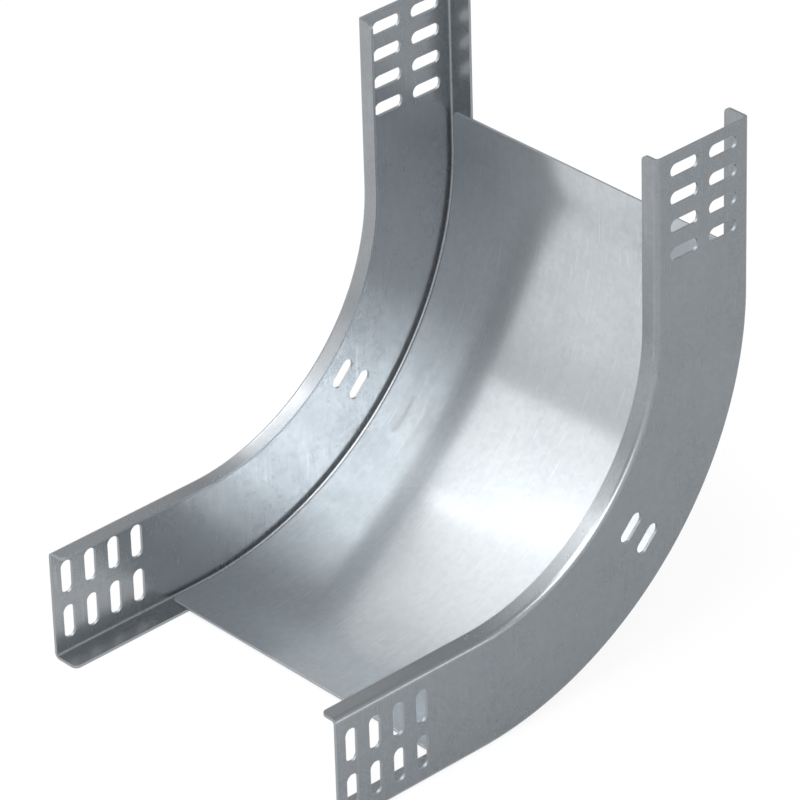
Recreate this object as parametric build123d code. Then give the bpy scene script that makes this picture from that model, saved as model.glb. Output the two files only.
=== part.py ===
from build123d import *
from math import cos, radians, sin
import os

# Rising bend for a cable tray: two folded side walls and a rolled base plate.
# It takes a run of tray from level to upright. The lower end points to -X and the upper
# end to +Z, and the two sides mirror each other in the XZ plane. The pieces are drawn
# about the axis of the bend and then moved, so that the origin is under the middle of the
# bend and level with its lowest face. Lengths are in millimetres.

# Driving dimensions of the bend
TRAY_WIDTH = 200.0
SIDE_HEIGHT = 60.0
BEND_ANGLE = 90.0
INSIDE_RADIUS = 115.0
SIDE_STRAIGHT_LENGTH = 90.0
BASE_STRAIGHT_LENGTH = 20.0

# Sheets and folds
SIDE_SHEET = 1.5
BASE_SHEET = 1.2
FOLD_INSIDE_RADIUS = 1.5
FLANGE_WIDTH = 15.0
LIP_WIDTH = 10.0
CORNER_RADIUS = 3.0

# How the base plate lies on the flanges
EDGE_CLEARANCE = 1.0
SEAT_GAP = 0.1

# Joint slots near each end of the side walls, in rows along the run
SLOT_WIDTH = 7.0
JOINT_SLOT_LENGTH = 18.0
JOINT_ROWS = 2
JOINT_ROW_SPACING = 25.0
JOINT_COLUMNS = 4
JOINT_COLUMN_SPACING = 14.5
END_TO_FIRST_COLUMN = 9.0

# Slots half way round the bend, side by side across the web
MIDDLE_SLOT_LENGTH = 16.0
MIDDLE_SLOTS = 2
MIDDLE_SLOT_SPACING = 15.0

# Sizes that follow from the ones above
OUTSIDE_RADIUS = INSIDE_RADIUS + SIDE_HEIGHT
MIDDLE_RADIUS = INSIDE_RADIUS + SIDE_HEIGHT / 2
HALF_WIDTH = TRAY_WIDTH / 2
FOLD_WIDTH = SIDE_SHEET + FOLD_INSIDE_RADIUS
CUTTER_DEPTH = 2 * FOLD_WIDTH
TURN = radians(BEND_ANGLE)
REACH = OUTSIDE_RADIUS * sin(TURN) + SIDE_STRAIGHT_LENGTH * cos(TURN)
BEND_AXIS = Axis((0, 0, 0), (0, -1, 0))
FRAME = Pos((SIDE_STRAIGHT_LENGTH - REACH) / 2, 0, OUTSIDE_RADIUS)


def side_profile():
    """Section of the left side wall where the bend starts: lip, web and flange."""
    half_sheet = SIDE_SHEET / 2
    web = HALF_WIDTH - half_sheet
    lip = -(INSIDE_RADIUS + half_sheet)
    flange = -(OUTSIDE_RADIUS - half_sheet)
    middle_of_sheet = FilletPolyline(
        (HALF_WIDTH - LIP_WIDTH, lip),
        (web, lip),
        (web, flange),
        (HALF_WIDTH - FLANGE_WIDTH, flange),
        radius=FOLD_INSIDE_RADIUS + half_sheet,
    )
    return Plane.YZ * trace(middle_of_sheet, SIDE_SHEET)


def base_profile():
    """Section of the base plate where the bend starts, lying on both flanges."""
    width = TRAY_WIDTH - 2 * (FOLD_WIDTH + EDGE_CLEARANCE)
    underside = -(OUTSIDE_RADIUS - SIDE_SHEET - SEAT_GAP)
    return Plane.YZ * Pos(0, underside + BASE_SHEET / 2) * Rectangle(width, BASE_SHEET)


def straight_end(profile, length, sheet):
    """The straight stretch at the lower end, with the corners of its free edges rounded."""
    run = extrude(profile, amount=length, dir=(-1, 0, 0))
    end_edges = run.edges().filter_by(Axis.Z).group_by(Axis.X)[0]
    free_corners = end_edges.filter_by(lambda edge: abs(edge.length - sheet) < sheet / 10)
    return fillet(free_corners, CORNER_RADIUS)


def at_upper_end(shape):
    """A shape made for the lower end, carried round the bend to the upper end."""
    return shape.mirror(Plane.YZ).rotate(BEND_AXIS, BEND_ANGLE)


def bent_sheet(profile, length, sheet):
    """A section swept round the bend, with the same straight stretch at both ends."""
    lower = straight_end(profile, length, sheet)
    arc = revolve(profile, BEND_AXIS, BEND_ANGLE)
    return (arc + lower + at_upper_end(lower)).clean()


def slot_cutter(length):
    """A slot through the left web, as long as stated along Z, about the bend's axis."""
    outline = Plane.XZ * SlotOverall(length, SLOT_WIDTH, rotation=90)
    return Pos(0, HALF_WIDTH, 0) * extrude(outline, amount=CUTTER_DEPTH, both=True)


def joint_slots():
    """The slots near the lower end, counted from the end and centred on the web."""
    first = END_TO_FIRST_COLUMN - SIDE_STRAIGHT_LENGTH
    lowest = -MIDDLE_RADIUS - JOINT_ROW_SPACING * (JOINT_ROWS - 1) / 2
    cutter = slot_cutter(JOINT_SLOT_LENGTH)
    slots = []
    for row in range(JOINT_ROWS):
        for column in range(JOINT_COLUMNS):
            along = first + JOINT_COLUMN_SPACING * column
            across = lowest + JOINT_ROW_SPACING * row
            slots.append(Pos(along, 0, across) * cutter)
    return slots


def middle_slots():
    """The slots half way round, which run along the bend."""
    nearest = MIDDLE_RADIUS - MIDDLE_SLOT_SPACING * (MIDDLE_SLOTS - 1) / 2
    cutter = slot_cutter(MIDDLE_SLOT_LENGTH).rotate(Axis.Y, 90)
    slots = []
    for place in range(MIDDLE_SLOTS):
        radius = nearest + MIDDLE_SLOT_SPACING * place
        slots.append((Pos(0, 0, -radius) * cutter).rotate(BEND_AXIS, BEND_ANGLE / 2))
    return slots


def left_side_wall():
    """Web with an inward lip along the inside of the bend and a flange along the outside."""
    wall = bent_sheet(side_profile(), SIDE_STRAIGHT_LENGTH, SIDE_SHEET)
    lower_slots = joint_slots()
    upper_slots = [at_upper_end(slot) for slot in lower_slots]
    return wall - lower_slots - upper_slots - middle_slots()


def base_plate():
    """Rolled sheet that lies on both flanges and stops short of the slotted ends."""
    return bent_sheet(base_profile(), BASE_STRAIGHT_LENGTH, BASE_SHEET)


left_wall = left_side_wall()
pieces = {
    "base_plate": base_plate(),
    "left_side_wall": left_wall,
    "right_side_wall": left_wall.mirror(Plane.XZ),
}

os.makedirs("parts", exist_ok=True)
for name, shape in pieces.items():
    solids = (FRAME * shape).solids()
    if len(solids) != 1:
        raise ValueError(f"{name} is {len(solids)} solids, and it has to be one")
    export_step(solids[0], f"parts/{name}.step")
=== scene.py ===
import bmesh
import bpy
from bpy.props import FloatProperty, FloatVectorProperty, IntProperty, PointerProperty, StringProperty
from math import atan2, pi, radians
from mathutils import Matrix, Vector


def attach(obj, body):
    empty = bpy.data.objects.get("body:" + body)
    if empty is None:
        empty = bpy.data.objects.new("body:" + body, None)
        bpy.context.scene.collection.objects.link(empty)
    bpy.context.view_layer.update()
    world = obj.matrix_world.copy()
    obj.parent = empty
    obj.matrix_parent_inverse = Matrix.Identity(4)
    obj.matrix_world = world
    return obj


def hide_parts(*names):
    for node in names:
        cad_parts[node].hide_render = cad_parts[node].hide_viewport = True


# Rising bend of a cable tray: two folded side walls and the base plate rolled between them.
# The frame gives the three sheets as solids. Here each one gets rounded edges and the finish
# of hot-dip galvanised strip, and the bend is set on a pale floor under soft studio light.
# Lengths are in metres where nothing else is said.

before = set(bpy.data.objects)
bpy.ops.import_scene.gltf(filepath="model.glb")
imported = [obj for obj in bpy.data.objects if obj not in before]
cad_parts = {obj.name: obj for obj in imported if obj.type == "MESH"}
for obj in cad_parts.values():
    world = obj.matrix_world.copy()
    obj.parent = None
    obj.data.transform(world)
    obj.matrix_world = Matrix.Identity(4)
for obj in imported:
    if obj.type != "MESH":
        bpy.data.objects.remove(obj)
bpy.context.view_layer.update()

bl_info = {
    "name": "Cable Tray Bend",
    "version": (1, 0, 0),
    "blender": (4, 5, 0),
    "location": "3D View > Sidebar > Tray Bend",
    "description": "Dresses the three sheets of a rising cable tray bend and lights them",
    "category": "Add Mesh",
}

MM = 0.001
SHEARED = "sheared"
UNROLLED = "unrolled"

# Faces round a slot's outline and round a free corner, and across a rounded edge. Edges that
# turn by more than the edge angle are rounded.
SLOT_STEPS = 32
CORNER_STEPS = 6
EDGE_STEPS = 2
EDGE_ANGLE = radians(40)

# The bevel profile that gives an arc of a circle, the pull of large faces on the shading, the
# distance at which two points are one, and the material place that marks what is cut
ROUND_PROFILE = 0.5
FLAT_FACE_WEIGHT = 80
TOUCHING = 0.001 * MM
CUT = 1

# Slots in a row near each end, and how far a punch reaches on both sides of the wall's outside
JOINT_COLUMNS = 4
PUNCH_REACH = 4.5 * MM

# How finely the clouds, the roll lines and the scratches are broken up
CLOUD_NOISE = {"Detail": 3.0, "Roughness": 0.6}
LINE_NOISE = {"Detail": 2.0, "Roughness": 0.7}
SCRATCH_NOISE = {"Detail": 0.0}

# How much each pattern adds to the brightness of the zinc, and the level that they start from
CLOUD_SHARE = 0.9
CRYSTAL_SHARE = 0.3
LINE_SHARE = 0.5
SCRATCH_SHARE = 0.5
START_LEVEL = -0.35

# Relief of the zinc: slow waves in the sheet, dished crystals, roll lines and scratches
WAVE_RELIEF = 0.04 * MM
CRYSTAL_RELIEF = -0.005 * MM
LINE_RELIEF = 0.004 * MM
SCRATCH_RELIEF = -0.004 * MM

# Only the peaks of a noise become scratches, and they lie aslant to the roll lines.
SCRATCH_STARTS = 0.72
SCRATCH_FULL = 0.78
SCRATCH_SLANT_ON_SIDES = radians(37)
SCRATCH_SLANT_ON_BASE = radians(24)

# Wear depends on how far a softened edge turns away from the surface, as the cosine of the turn.
WEAR_STARTS = 0.98
WEAR_FULL = 0.75
WEAR_SHARE = 0.6
WEAR_SAMPLES = 4

# Roughness of rubbed metal, and how much rougher than stated the dullest zinc is, and how much
# smoother the brightest
RUBBED_ROUGHNESS = 0.5
ROUGHNESS_SPREAD = 0.05

# Soft boxes round the bend, which face the lit point: name, azimuth and elevation in degrees,
# distance, width and height, and brightness, where 1 is as bright as the white floor. Azimuth 0
# is in front of the right side wall and 90 is behind the upper end. The five of the arch stand in
# a row, one for each stretch of the side walls and of the base plate that mirrors them.
LIT_POINT = Vector((0, 0, 0.12))
SOFT_BOXES = (
    ("arch_right", 10, 52, 2.1, (0.7, 0.6), 3.3),
    ("arch_top", 350, 47, 2.1, (0.7, 0.6), 5.0),
    ("arch_left", 334, 44, 2.1, (0.7, 0.6), 4.3),
    ("arch_side", 322, 35, 2.1, (0.7, 0.6), 5.4),
    ("arch_foot", 314, 23, 2.1, (0.7, 0.6), 2.6),
    ("front_box", 353, 31, 2.1, (1.2, 0.5), 2.2),
    ("left_back_box", 236, 60, 1.9, (0.9, 1.2), 3.7),
    ("left_front_box", 300, 62, 1.9, (0.9, 1.2), 4.4),
    ("back_box", 183, 34, 1.9, (1.0, 0.7), 5.4),
    ("back_left_box", 219, 33, 1.9, (1.1, 0.9), 1.0),
    ("back_right_box", 170, 49, 1.9, (1.7, 1.0), 0.3),
    ("right_box", 40, 12, 1.9, (1.0, 0.6), 1.8),
)

# The floor lies a hair under the flanges. It is white from its own glow, apart from a share near
# the bend that takes its shadow.
FLOOR_LEVEL = -0.2 * MM
FLOOR_ALONG_X = (-6, 6)
FLOOR_ALONG_Y = (-6, 6)
FLOOR_PAINT = "E4E5E6"
WHITE_SHARE = 0.85
SHADOW_REACH = 0.5

# A grey card lies on the floor beside the right side wall, and only reflections show it.
CARD_LEVEL = 0.1 * MM
CARD_ALONG_X = (-0.5, 1.1)
CARD_ALONG_Y = (-1.4, -0.101)
CARD_PAINT = "B8BABC"

# The room is white up to one height of the line of sight and greyer from another.
WHITE_ROOM_TO = 0.05
GREY_ROOM_FROM = 0.45
CEILING_LEVEL = 0.4

# The camera's sensor in millimetres
SENSOR_WIDTH = 36


class TrayBendShape(bpy.types.PropertyGroup):
    width: FloatProperty(
        name="Width", description="Width of the tray over its side walls",
        default=200 * MM, unit="LENGTH")
    side_height: FloatProperty(
        name="Side height", description="Height of the side walls", default=60 * MM, unit="LENGTH")
    inside_radius: FloatProperty(
        name="Inside radius", description="Radius of the bend along the lips",
        default=115 * MM, unit="LENGTH")
    bend_start: FloatProperty(
        name="Start of bend", description="Where the level run ends, along X",
        default=-42.5 * MM, unit="LENGTH")
    side_straight: FloatProperty(
        name="Straight ends of sides", description="Straight stretch at both ends of a side wall",
        default=90 * MM, unit="LENGTH")
    base_straight: FloatProperty(
        name="Straight ends of base", description="Straight stretch at both ends of the base plate",
        default=20 * MM, unit="LENGTH")
    side_sheet: FloatProperty(
        name="Side sheet", description="Thickness of the side walls", default=1.5 * MM, unit="LENGTH")
    base_sheet: FloatProperty(
        name="Base sheet", description="Thickness of the base plate", default=1.2 * MM, unit="LENGTH")
    fold_radius: FloatProperty(
        name="Fold radius", description="Radius of a fold in the middle of the sheet",
        default=2.25 * MM, unit="LENGTH")
    lip: FloatProperty(
        name="Lip", description="Width of the lip along the inside of the bend",
        default=10 * MM, unit="LENGTH")
    flange: FloatProperty(
        name="Flange", description="Width of the flange under the base plate",
        default=15 * MM, unit="LENGTH")
    edge_gap: FloatProperty(
        name="Edge gap", description="Room between the base plate and the folds",
        default=1 * MM, unit="LENGTH")
    seat_gap: FloatProperty(
        name="Seat gap", description="Room between the base plate and the flanges",
        default=0.1 * MM, unit="LENGTH")
    corner_radius: FloatProperty(
        name="Corner radius", description="Rounding of a sheet's free corners",
        default=3 * MM, unit="LENGTH")
    edge_radius: FloatProperty(
        name="Edge radius", description="Rounding of the sheared edges",
        default=0.2 * MM, unit="LENGTH")
    slot_width: FloatProperty(
        name="Slot width", description="Width of every slot", default=7 * MM, unit="LENGTH")
    joint_slot: FloatProperty(
        name="Joint slot", description="Length of the slots near the ends",
        default=18 * MM, unit="LENGTH")
    joint_rows: FloatProperty(
        name="Joint rows", description="Distance between the two rows", default=25 * MM, unit="LENGTH")
    joint_columns: FloatProperty(
        name="Joint columns", description="Distance between the four columns",
        default=14.5 * MM, unit="LENGTH")
    first_column: FloatProperty(
        name="First column", description="From a wall's end to its first column",
        default=9 * MM, unit="LENGTH")
    middle_slot: FloatProperty(
        name="Middle slot", description="Length of the slots half way round",
        default=16 * MM, unit="LENGTH")
    middle_rows: FloatProperty(
        name="Middle rows", description="Distance between the slots half way round",
        default=15 * MM, unit="LENGTH")
    bend_steps: IntProperty(
        name="Bend steps", description="Faces along the bend", default=60)
    fold_steps: IntProperty(
        name="Fold steps", description="Faces across a fold", default=6)


class TrayBendFinish(bpy.types.PropertyGroup):
    # Painted shade: both side wall colours, dull patches included, are set darker than the base plate's
    # zinc although the sheet is the same. This stands in for the shade on the webs, which face away
    # from the main light.
    side_zinc_painted_shade: StringProperty(
        name="Side zinc", description="Zinc of the side walls, which has dulled to grey",
        default="A0A4A7")
    side_dull_painted_shade: StringProperty(
        name="Side dull zinc", description="The dullest patches of the side walls", default="919599")
    base_zinc: StringProperty(
        name="Base zinc", description="Zinc of the base plate, which is still bright", default="D4D9DC")
    base_dull: StringProperty(
        name="Base dull zinc", description="The dullest patches of the base plate", default="BFC4C8")
    sheared_steel: StringProperty(
        name="Sheared steel",
        description="Edges and slot rims, where the blade smeared zinc over steel",
        default="9DA2A6")
    side_gloss: FloatProperty(
        name="Side gloss", description="Roughness of the smooth zinc on the side walls",
        default=0.26, subtype="FACTOR")
    base_gloss: FloatProperty(
        name="Base gloss", description="Roughness of the smooth zinc on the base plate",
        default=0.15, subtype="FACTOR")
    haze: FloatProperty(
        name="Haze", description="Roughness of the frosted crystals between the smooth ones",
        default=0.48, subtype="FACTOR")
    haze_share: FloatProperty(
        name="Haze share", description="Share of the surface that is frosted",
        default=0.43, subtype="FACTOR")
    spangle: FloatProperty(
        name="Spangle", description="Width of a zinc crystal", default=2.6 * MM, unit="LENGTH")
    cloud: FloatProperty(
        name="Cloud", description="Width of a patch of duller zinc", default=45 * MM, unit="LENGTH")
    roll_line: FloatProperty(
        name="Roll line", description="Distance between the lines that the rolls left",
        default=1.1 * MM, unit="LENGTH")
    roll_line_length: FloatProperty(
        name="Roll line length", description="Length of a line that the rolls left",
        default=70 * MM, unit="LENGTH")
    scratch_length: FloatProperty(
        name="Scratch length", description="Length of a handling scratch",
        default=22 * MM, unit="LENGTH")
    worn_edge: FloatProperty(
        name="Worn edge", description="How far wear reaches in from an edge",
        default=1.2 * MM, unit="LENGTH")


class TrayBendStage(bpy.types.PropertyGroup):
    aim: FloatVectorProperty(
        name="Aim", description="Point in the middle of the picture",
        default=(-0.026412, -0.032104, 0.153483), unit="LENGTH")
    azimuth: FloatProperty(
        name="Azimuth", description="Turn of the camera about the vertical",
        default=radians(-42.128), unit="ROTATION")
    elevation: FloatProperty(
        name="Elevation", description="Height of the camera as an angle",
        default=radians(31.174), unit="ROTATION")
    roll: FloatProperty(
        name="Roll", description="Turn of the camera about its own line of sight",
        default=radians(-1.708), unit="ROTATION")
    distance: FloatProperty(
        name="Distance", description="Distance of the camera from its aim",
        default=2.68215, unit="LENGTH")
    lens: FloatProperty(
        name="Lens", description="Focal length on a sensor 36 mm wide", default=263.71, unit="CAMERA")


def linear(hex_colour):
    """An sRGB hex colour as linear red, green, blue and alpha."""
    values = []
    for place in (0, 2, 4):
        value = int(hex_colour[place:place + 2], 16) / 255
        values.append(value / 12.92 if value <= 0.04045 else ((value + 0.055) / 1.055) ** 2.4)
    return (*values, 1.0)


def add_node(tree, kind, links=None, values=None, **settings):
    """Adds a node with its settings, links its inputs and sets the values of the others."""
    node = tree.nodes.new(kind)
    for name, value in settings.items():
        setattr(node, name, value)
    for name, value in (values or {}).items():
        node.inputs[name].default_value = value
    for name, source in (links or {}).items():
        tree.links.new(source, node.inputs[name])
    return node


def new_material(name):
    """A material with an empty node tree."""
    material = bpy.data.materials.new(name)
    material.use_nodes = True
    material.node_tree.nodes.clear()
    return material


def streaks(tree, place, size, noise, turn=(0, 0, 0)):
    """A noise with streaks of the stated size along X, Y and Z, turned by the stated angles."""
    stretched = add_node(
        tree, "ShaderNodeMapping", {"Vector": place},
        {"Rotation": turn, "Scale": [1 / length for length in size]}).outputs["Vector"]
    return add_node(
        tree, "ShaderNodeTexNoise", {"Vector": stretched}, {"Scale": 1.0, **noise}).outputs["Fac"]


def added_up(tree, patterns, start):
    """A start value plus each pattern times its share."""
    total = None
    for pattern, share in patterns:
        part = add_node(
            tree, "ShaderNodeMath", {0: pattern}, {1: share, 2: start}, operation="MULTIPLY_ADD")
        if total is not None:
            tree.links.new(total, part.inputs[2])
        total = part.outputs[0]
    return total


def galvanised_steel(name, zinc, dull, gloss, finish, unrolled=False):
    """Hot-dip galvanised strip, dipped in zinc as a coil, then sheared, punched and folded.

    The zinc freezes into crystals. Some stay smooth and mirror the room softly, and others are
    frosted, so the eye sees a fairly sharp reflection with a wide haze over it, broken up by
    faint crystals, cloudy patches, roll lines and a few scratches.
    """
    material = new_material(name)
    tree = material.node_tree
    place = add_node(tree, "ShaderNodeTexCoord").outputs["Object"]

    # Patches of duller zinc, crystals of a few millimetres, and slow waves in the sheet
    clouds = add_node(
        tree, "ShaderNodeTexNoise", {"Vector": place},
        {"Scale": 1 / finish.cloud, **CLOUD_NOISE}).outputs["Fac"]
    crystals = add_node(
        tree, "ShaderNodeTexVoronoi", {"Vector": place}, {"Scale": 1 / finish.spangle})
    crystal = add_node(
        tree, "ShaderNodeSeparateColor", {"Color": crystals.outputs["Color"]}).outputs["Red"]

    # Roll lines are a tenth of a millimetre apart. Here they are ten times as coarse, so that
    # they still show in a picture. They run up the side walls and along the base plate.
    across = finish.roll_line
    if unrolled:
        flat = add_node(tree, "ShaderNodeUVMap", uv_map=UNROLLED).outputs["UV"]
        line_size = (finish.roll_line_length, across, 1)
        scratch_size = (finish.scratch_length, across, 1)
        scratch_turn = (0, 0, SCRATCH_SLANT_ON_BASE)
    else:
        flat = place
        line_size = (across, across, finish.roll_line_length)
        scratch_size = (across, across, finish.scratch_length)
        scratch_turn = (0, SCRATCH_SLANT_ON_SIDES, 0)
    lines = streaks(tree, flat, line_size, LINE_NOISE)
    scratches = add_node(
        tree, "ShaderNodeMapRange",
        {"Value": streaks(tree, flat, scratch_size, SCRATCH_NOISE, scratch_turn)},
        {"From Min": SCRATCH_STARTS, "From Max": SCRATCH_FULL}).outputs["Result"]

    # How bright the zinc is: 0 in the dullest patches and 1 in the brightest
    shares = (
        (clouds, CLOUD_SHARE), (crystal, CRYSTAL_SHARE), (lines, LINE_SHARE),
        (scratches, SCRATCH_SHARE))
    brightness = added_up(tree, shares, START_LEVEL)
    skin = add_node(
        tree, "ShaderNodeMix", {"Factor": brightness},
        {"A": linear(dull), "B": linear(zinc)}, data_type="RGBA")

    # Bare and smeared metal on sheared faces, and rubbed metal just in from the edges
    sheared = add_node(tree, "ShaderNodeAttribute", attribute_name=SHEARED).outputs["Fac"]
    rounded = add_node(
        tree, "ShaderNodeBevel", values={"Radius": finish.worn_edge}, samples=WEAR_SAMPLES)
    surface = add_node(tree, "ShaderNodeNewGeometry")
    agreement = add_node(
        tree, "ShaderNodeVectorMath", {0: rounded.outputs["Normal"], 1: surface.outputs["Normal"]},
        operation="DOT_PRODUCT").outputs["Value"]
    worn = add_node(
        tree, "ShaderNodeMapRange", {"Value": agreement},
        {"From Min": WEAR_STARTS, "From Max": WEAR_FULL, "To Max": WEAR_SHARE}).outputs["Result"]
    bare = add_node(tree, "ShaderNodeMath", {0: sheared, 1: worn}, operation="MAXIMUM").outputs[0]
    colour = add_node(
        tree, "ShaderNodeMix", {"Factor": bare, "A": skin.outputs["Result"]},
        {"B": linear(finish.sheared_steel)}, data_type="RGBA").outputs["Result"]

    # Height of the surface in metres
    depths = (
        (clouds, WAVE_RELIEF), (crystals.outputs["Distance"], CRYSTAL_RELIEF), (lines, LINE_RELIEF),
        (scratches, SCRATCH_RELIEF))
    relief = add_node(
        tree, "ShaderNodeBump", {"Height": added_up(tree, depths, 0.0)},
        {"Strength": 1.0, "Distance": 1.0})

    # The smooth zinc and the frosted zinc, both rougher where the patches are dull
    lobes = []
    for roughness in (gloss, finish.haze):
        dull_skin = add_node(
            tree, "ShaderNodeMapRange", {"Value": brightness},
            {"To Min": roughness + ROUGHNESS_SPREAD, "To Max": roughness - ROUGHNESS_SPREAD})
        rubbed = add_node(
            tree, "ShaderNodeMix", {"Factor": bare, "A": dull_skin.outputs["Result"]},
            {"B": RUBBED_ROUGHNESS}, data_type="FLOAT").outputs["Result"]
        lobes.append(add_node(
            tree, "ShaderNodeBsdfPrincipled",
            {"Base Color": colour, "Roughness": rubbed, "Normal": relief.outputs["Normal"]},
            {"Metallic": 1.0}).outputs["BSDF"])
    zinc_mix = add_node(
        tree, "ShaderNodeMixShader", {1: lobes[0], 2: lobes[1]}, {"Fac": finish.haze_share})
    add_node(tree, "ShaderNodeOutputMaterial", {"Surface": zinc_mix.outputs[0]})
    return material


def bend_axis(shape):
    """A point on the axis of the bend."""
    return Vector((shape.bend_start, 0, shape.inside_radius + shape.side_height))


def extend(sheet, edges, way):
    """Lengthens a sheet from some of its edges, by the stated vector."""
    added = bmesh.ops.extrude_edge_only(sheet, edges=edges)["geom"]
    moved = [item for item in added if isinstance(item, bmesh.types.BMVert)]
    bmesh.ops.translate(sheet, verts=moved, vec=way)


def swept_sheet(section, straight, shape):
    """A section of (y, radius) points, swept along both straight ends and round the bend."""
    centre = bend_axis(shape)
    sheet = bmesh.new()
    corners = [sheet.verts.new((shape.bend_start, y, centre.z - radius)) for y, radius in section]
    for pair in zip(corners, corners[1:]):
        sheet.edges.new(pair)
    if len(corners) > 2:
        bmesh.ops.bevel(
            sheet, geom=corners[1:-1], offset=shape.fold_radius, offset_type="OFFSET",
            segments=shape.fold_steps, profile=ROUND_PROFILE, affect="VERTICES", material=-1)
    profile = list(sheet.edges)

    extend(sheet, profile, (-straight, 0, 0))
    turned = bmesh.ops.spin(
        sheet, geom=profile + list({vert for edge in profile for vert in edge.verts}), cent=centre,
        axis=(0, -1, 0), angle=pi / 2, steps=shape.bend_steps, use_merge=False)["geom_last"]
    last = [item for item in turned if isinstance(item, bmesh.types.BMEdge)]
    extend(sheet, last, (0, 0, straight))
    bmesh.ops.remove_doubles(sheet, verts=sheet.verts, dist=TOUCHING)

    ends = [vert for vert in sheet.verts if len(vert.link_faces) == 1]
    bmesh.ops.bevel(
        sheet, geom=ends, offset=shape.corner_radius, offset_type="OFFSET", segments=CORNER_STEPS,
        profile=ROUND_PROFILE, affect="VERTICES", material=-1)
    bmesh.ops.recalc_face_normals(sheet, faces=sheet.faces)
    return sheet


def slot_bar(punches, length, shape):
    """Adds a bar with round ends, as long as stated along X and deep along Z."""
    outline = bmesh.ops.create_circle(
        punches, cap_ends=True, segments=SLOT_STEPS, radius=shape.slot_width / 2)["verts"]
    stretch = (length - shape.slot_width) / 2
    ahead = [vert for vert in outline if vert.co.x > -TOUCHING]
    behind = [vert for vert in outline if vert not in ahead]
    bmesh.ops.translate(punches, verts=ahead, vec=(stretch, 0, 0))
    bmesh.ops.translate(punches, verts=behind, vec=(-stretch, 0, 0))
    face = outline[0].link_faces[0]
    lifted = bmesh.ops.extrude_face_region(punches, geom=[face], use_keep_orig=True)["geom"]
    top = [item for item in lifted if isinstance(item, bmesh.types.BMVert)]
    bmesh.ops.translate(punches, verts=top, vec=(0, 0, 2 * PUNCH_REACH))
    bmesh.ops.translate(punches, verts=outline + top, vec=(0, 0, -PUNCH_REACH))
    return outline + top


def unfinished_piece(name, sheet):
    """An object with a material place for the sheet and another for what is cut."""
    mesh = bpy.data.meshes.new(name)
    sheet.to_mesh(mesh)
    sheet.free()
    mesh.materials.append(None)
    mesh.materials.append(None)
    piece = bpy.data.objects.new(name, mesh)
    bpy.context.collection.objects.link(piece)
    return piece


def slot_cutter(shape, side):
    """One object with a rounded bar for each slot of a side wall."""
    punches = bmesh.new()
    middle = shape.inside_radius + shape.side_height / 2
    web = side * shape.width / 2
    to_bend = Matrix.Translation(bend_axis(shape))
    through_web = Matrix.Rotation(pi / 2, 4, "X")
    across_run = Matrix.Rotation(pi / 2, 4, "Z")
    to_upper_end = Matrix.Rotation(-pi / 2, 4, "Y")
    half_way = Matrix.Rotation(-pi / 4, 4, "Y")

    for radius in (middle - shape.joint_rows / 2, middle + shape.joint_rows / 2):
        for column in range(JOINT_COLUMNS):
            before_bend = shape.side_straight - shape.first_column - column * shape.joint_columns
            lower = Matrix.Translation((-before_bend, web, -radius))
            upper = to_upper_end @ Matrix.Translation((before_bend, web, -radius))
            for place in (lower, upper):
                bar = slot_bar(punches, shape.joint_slot, shape)
                bmesh.ops.transform(
                    punches, matrix=to_bend @ place @ through_web @ across_run, verts=bar)
    for radius in (middle - shape.middle_rows / 2, middle + shape.middle_rows / 2):
        bar = slot_bar(punches, shape.middle_slot, shape)
        place = half_way @ Matrix.Translation((0, web, -radius))
        bmesh.ops.transform(punches, matrix=to_bend @ place @ through_web, verts=bar)
    bmesh.ops.recalc_face_normals(punches, faces=punches.faces)

    cutter = unfinished_piece("slot_cutter", punches)
    for face in cutter.data.polygons:
        face.material_index = CUT
    return cutter


def finished_sheet(name, sheet, thickness, cutter=None):
    """Gives a swept sheet its thickness and punches its slots."""
    piece = unfinished_piece(name, sheet)
    swept = piece.data
    wall = piece.modifiers.new("thickness", "SOLIDIFY")
    wall.thickness = thickness
    wall.offset = 0
    wall.use_even_offset = True
    wall.material_offset_rim = CUT
    if cutter is not None:
        punch = piece.modifiers.new("slots", "BOOLEAN")
        punch.operation = "DIFFERENCE"
        punch.solver = "EXACT"
        punch.object = cutter
    graph = bpy.context.evaluated_depsgraph_get()
    piece.data = bpy.data.meshes.new_from_object(piece.evaluated_get(graph))
    piece.modifiers.clear()
    bpy.data.meshes.remove(swept)
    piece.data.name = name
    return piece


def unroll(mesh, radius, shape):
    """A UV map in metres, with the way along the rolled sheet as U and across it as V."""
    centre = bend_axis(shape)
    places = mesh.uv_layers.new(name=UNROLLED)
    for loop in mesh.loops:
        x, y, z = mesh.vertices[loop.vertex_index].co - centre
        if x < 0:
            along = x
        elif z > 0:
            along = radius * pi / 2 + z
        else:
            along = radius * atan2(x, -z)
        places.uv[loop.index].vector = (along, y)


def round_and_place(piece, node, material, shape):
    """Marks the sheared faces, rounds their edges and puts the piece in the node's place."""
    mesh = piece.data
    sheared = mesh.attributes.new(SHEARED, "FLOAT", "FACE")
    for face in mesh.polygons:
        sheared.data[face.index].value = face.material_index
        face.material_index = 0
        face.use_smooth = True
    mesh.materials.clear()
    mesh.materials.append(material)
    rounding = piece.modifiers.new("rounded edges", "BEVEL")
    rounding.width = shape.edge_radius
    rounding.segments = EDGE_STEPS
    rounding.limit_method = "ANGLE"
    rounding.angle_limit = EDGE_ANGLE
    shading = piece.modifiers.new("flat faces", "WEIGHTED_NORMAL")
    shading.mode = "FACE_AREA"
    shading.weight = FLAT_FACE_WEIGHT
    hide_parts(node)
    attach(piece, "root")


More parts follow.
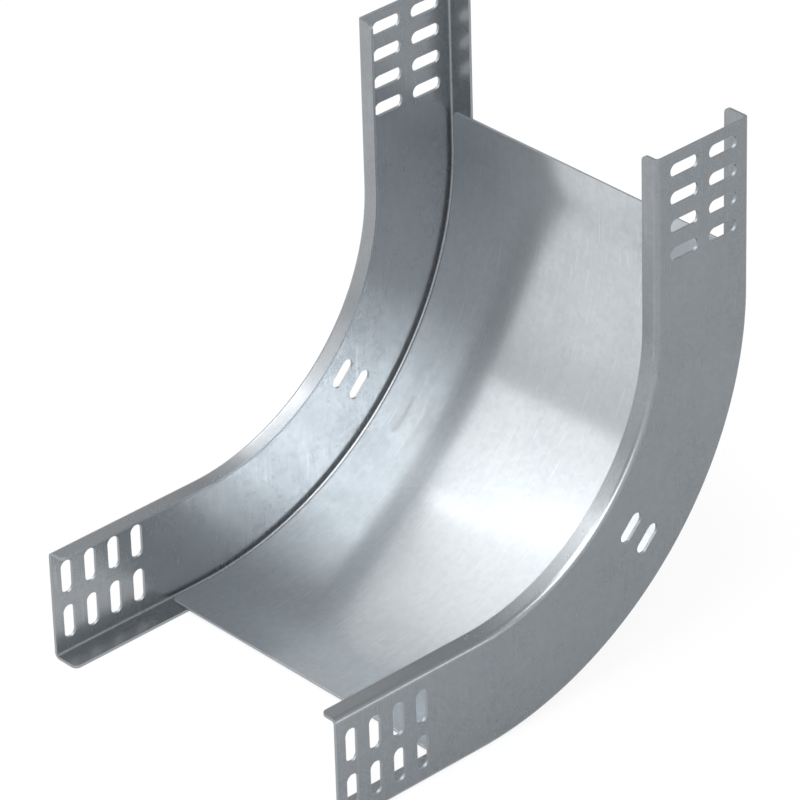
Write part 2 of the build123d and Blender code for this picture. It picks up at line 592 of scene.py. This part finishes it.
class TRAYBEND_OT_side_walls(bpy.types.Operator):
    """Fold the two side walls and punch their slots"""
    bl_idname = "tray_bend.side_walls"
    bl_label = "Side walls"

    def execute(self, context):
        scene = context.scene
        shape = scene.tray_shape
        finish = scene.tray_finish
        # The side walls get the darker zinc, which is painted shade, and the base plate keeps the
        # bright zinc.
        material = galvanised_steel(
            "galvanised_steel_sides", finish.side_zinc_painted_shade, finish.side_dull_painted_shade, finish.side_gloss, finish)
        half = shape.width / 2
        web = half - shape.side_sheet / 2
        lip = shape.inside_radius + shape.side_sheet / 2
        flange = shape.inside_radius + shape.side_height - shape.side_sheet / 2
        for side, node in ((1, "left_side_wall"), (-1, "right_side_wall")):
            path = ((half - shape.lip, lip), (web, lip), (web, flange), (half - shape.flange, flange))
            section = [(side * y, radius) for y, radius in path]
            sheet = swept_sheet(section, shape.side_straight, shape)
            cutter = slot_cutter(shape, side)
            piece = finished_sheet(f"{node}_sheet", sheet, shape.side_sheet, cutter)
            bpy.data.objects.remove(cutter)
            round_and_place(piece, node, material, shape)
        return {"FINISHED"}


class TRAYBEND_OT_base_plate(bpy.types.Operator):
    """Roll the base plate"""
    bl_idname = "tray_bend.base_plate"
    bl_label = "Base plate"

    def execute(self, context):
        scene = context.scene
        shape = scene.tray_shape
        finish = scene.tray_finish
        material = galvanised_steel(
            "galvanised_steel_base", finish.base_zinc, finish.base_dull, finish.base_gloss, finish,
            unrolled=True)
        fold = shape.fold_radius + shape.side_sheet / 2
        half = shape.width / 2 - fold - shape.edge_gap
        flange = shape.inside_radius + shape.side_height - shape.side_sheet
        radius = flange - shape.seat_gap - shape.base_sheet / 2
        sheet = swept_sheet([(-half, radius), (half, radius)], shape.base_straight, shape)
        piece = finished_sheet("base_plate_sheet", sheet, shape.base_sheet)
        unroll(piece.data, radius, shape)
        round_and_place(piece, "base_plate", material, shape)
        return {"FINISHED"}


def soft_box(name, azimuth, elevation, distance, size, brightness):
    """A white area lamp that faces the bend and stays out of the camera's view.

    An evenly bright lamp gives off pi watts for each unit of brightness and square metre.
    """
    width, height = size
    lamp = bpy.data.lights.new(name, "AREA")
    lamp.shape = "RECTANGLE"
    lamp.size = width
    lamp.size_y = height
    lamp.energy = pi * width * height * brightness
    holder = bpy.data.objects.new(name, lamp)
    turn = Matrix.Rotation(radians(azimuth), 4, "Z") @ Matrix.Rotation(radians(90 - elevation), 4, "X")
    holder.matrix_world = Matrix.Translation(LIT_POINT) @ turn @ Matrix.Translation((0, 0, distance))
    holder.visible_camera = False
    bpy.context.collection.objects.link(holder)


def flat_board(name, along_x, along_y, level):
    """A level rectangle that faces up, as part of the stage."""
    left, right = along_x
    front, back = along_y
    corners = ((left, front, level), (right, front, level), (right, back, level), (left, back, level))
    mesh = bpy.data.meshes.new(name)
    mesh.from_pydata(corners, (), (range(len(corners)),))
    board = bpy.data.objects.new(name, mesh)
    bpy.context.collection.objects.link(board)
    return board


def pale_floor():
    """Matt white board: white to the camera and in the metal, and a little of its shadow stays."""
    material = new_material("pale_floor")
    tree = material.node_tree
    path = add_node(tree, "ShaderNodeLightPath")
    seen = path.outputs["Is Camera Ray"]
    for kind in ("Is Glossy Ray", "Is Transmission Ray"):
        either = add_node(
            tree, "ShaderNodeMath", {0: seen, 1: path.outputs[kind]}, operation="MAXIMUM")
        seen = either.outputs[0]
    place = add_node(tree, "ShaderNodeTexCoord").outputs["Object"]
    away = add_node(tree, "ShaderNodeVectorMath", {0: place}, operation="LENGTH").outputs["Value"]
    white_here = add_node(
        tree, "ShaderNodeMapRange", {"Value": away},
        {"From Min": SHADOW_REACH, "From Max": 2 * SHADOW_REACH, "To Min": WHITE_SHARE},
        interpolation_type="SMOOTHSTEP").outputs["Result"]
    share = add_node(tree, "ShaderNodeMath", {0: seen, 1: white_here}, operation="MULTIPLY").outputs[0]
    board = add_node(tree, "ShaderNodeBsdfDiffuse", values={"Color": linear(FLOOR_PAINT)}).outputs[0]
    white = add_node(tree, "ShaderNodeEmission", values={"Strength": 1.0}).outputs[0]
    mix = add_node(tree, "ShaderNodeMixShader", {"Fac": share, 1: board, 2: white})
    add_node(tree, "ShaderNodeOutputMaterial", {"Surface": mix.outputs[0]})
    return material


def pale_room():
    """A pale studio that is white at the horizon, where it meets the floor, and greyer overhead."""
    world = bpy.data.worlds.new("pale_room")
    world.use_nodes = True
    tree = world.node_tree
    tree.nodes.clear()
    direction = add_node(tree, "ShaderNodeTexCoord").outputs["Generated"]
    height = add_node(tree, "ShaderNodeSeparateXYZ", {"Vector": direction}).outputs["Z"]
    level = add_node(
        tree, "ShaderNodeMapRange", {"Value": height},
        {"From Min": WHITE_ROOM_TO, "From Max": GREY_ROOM_FROM, "To Min": 1.0, "To Max": CEILING_LEVEL})
    room = add_node(
        tree, "ShaderNodeBackground", {"Strength": level.outputs["Result"]}, {"Color": (1, 1, 1, 1)})
    add_node(tree, "ShaderNodeOutputWorld", {"Surface": room.outputs[0]})
    return world


def grey_card():
    """A grey board beside the right wall, which only shows as the grey reflected in that wall."""
    card = flat_board("grey_card", CARD_ALONG_X, CARD_ALONG_Y, CARD_LEVEL)
    material = new_material("grey_board")
    tree = material.node_tree
    paint = add_node(tree, "ShaderNodeBsdfDiffuse", values={"Color": linear(CARD_PAINT)}).outputs[0]
    add_node(tree, "ShaderNodeOutputMaterial", {"Surface": paint})
    card.data.materials.append(material)
    for ray in ("camera", "diffuse", "transmission", "shadow"):
        setattr(card, f"visible_{ray}", False)


class TRAYBEND_OT_stage(bpy.types.Operator):
    """Lay the floor, light the bend and place the camera"""
    bl_idname = "tray_bend.stage"
    bl_label = "Stage"

    def execute(self, context):
        scene = context.scene
        stage = scene.tray_stage

        floor = flat_board("floor", FLOOR_ALONG_X, FLOOR_ALONG_Y, FLOOR_LEVEL)
        floor.data.materials.append(pale_floor())
        grey_card()
        scene.world = pale_room()
        for lamp in SOFT_BOXES:
            soft_box(*lamp)

        camera = bpy.data.cameras.new("camera")
        camera.lens = stage.lens
        camera.sensor_width = SENSOR_WIDTH
        holder = bpy.data.objects.new("camera", camera)
        turn = (Matrix.Rotation(stage.azimuth, 4, "Z")
                @ Matrix.Rotation(pi / 2 - stage.elevation, 4, "X")
                @ Matrix.Rotation(stage.roll, 4, "Z"))
        holder.matrix_world = (Matrix.Translation(stage.aim) @ turn
                               @ Matrix.Translation((0, 0, stage.distance)))
        context.collection.objects.link(holder)
        scene.camera = holder
        scene.view_settings.view_transform = "Standard"
        return {"FINISHED"}


class TRAYBEND_PT_panel(bpy.types.Panel):
    bl_label = "Tray Bend"
    bl_idname = "TRAYBEND_PT_panel"
    bl_space_type = "VIEW_3D"
    bl_region_type = "UI"
    bl_category = "Tray Bend"

    def draw(self, context):
        for group in ("tray_shape", "tray_finish", "tray_stage"):
            settings = getattr(context.scene, group)
            box = self.layout.box()
            for name in settings.__annotations__:
                box.prop(settings, name)
        for operator in OPERATORS:
            self.layout.operator(operator.bl_idname)


OPERATORS = (TRAYBEND_OT_side_walls, TRAYBEND_OT_base_plate, TRAYBEND_OT_stage)
SETTINGS = {"tray_shape": TrayBendShape, "tray_finish": TrayBendFinish, "tray_stage": TrayBendStage}


def register():
    for name, group in SETTINGS.items():
        bpy.utils.register_class(group)
        setattr(bpy.types.Scene, name, PointerProperty(type=group))
    for kind in (*OPERATORS, TRAYBEND_PT_panel):
        bpy.utils.register_class(kind)


def unregister():
    for kind in (TRAYBEND_PT_panel, *reversed(OPERATORS)):
        bpy.utils.unregister_class(kind)
    for name, group in SETTINGS.items():
        delattr(bpy.types.Scene, name)
        bpy.utils.unregister_class(group)


def main():
    register()
    bpy.ops.tray_bend.side_walls()
    bpy.ops.tray_bend.base_plate()
    bpy.ops.tray_bend.stage()


if __name__ == "__main__":
    main()
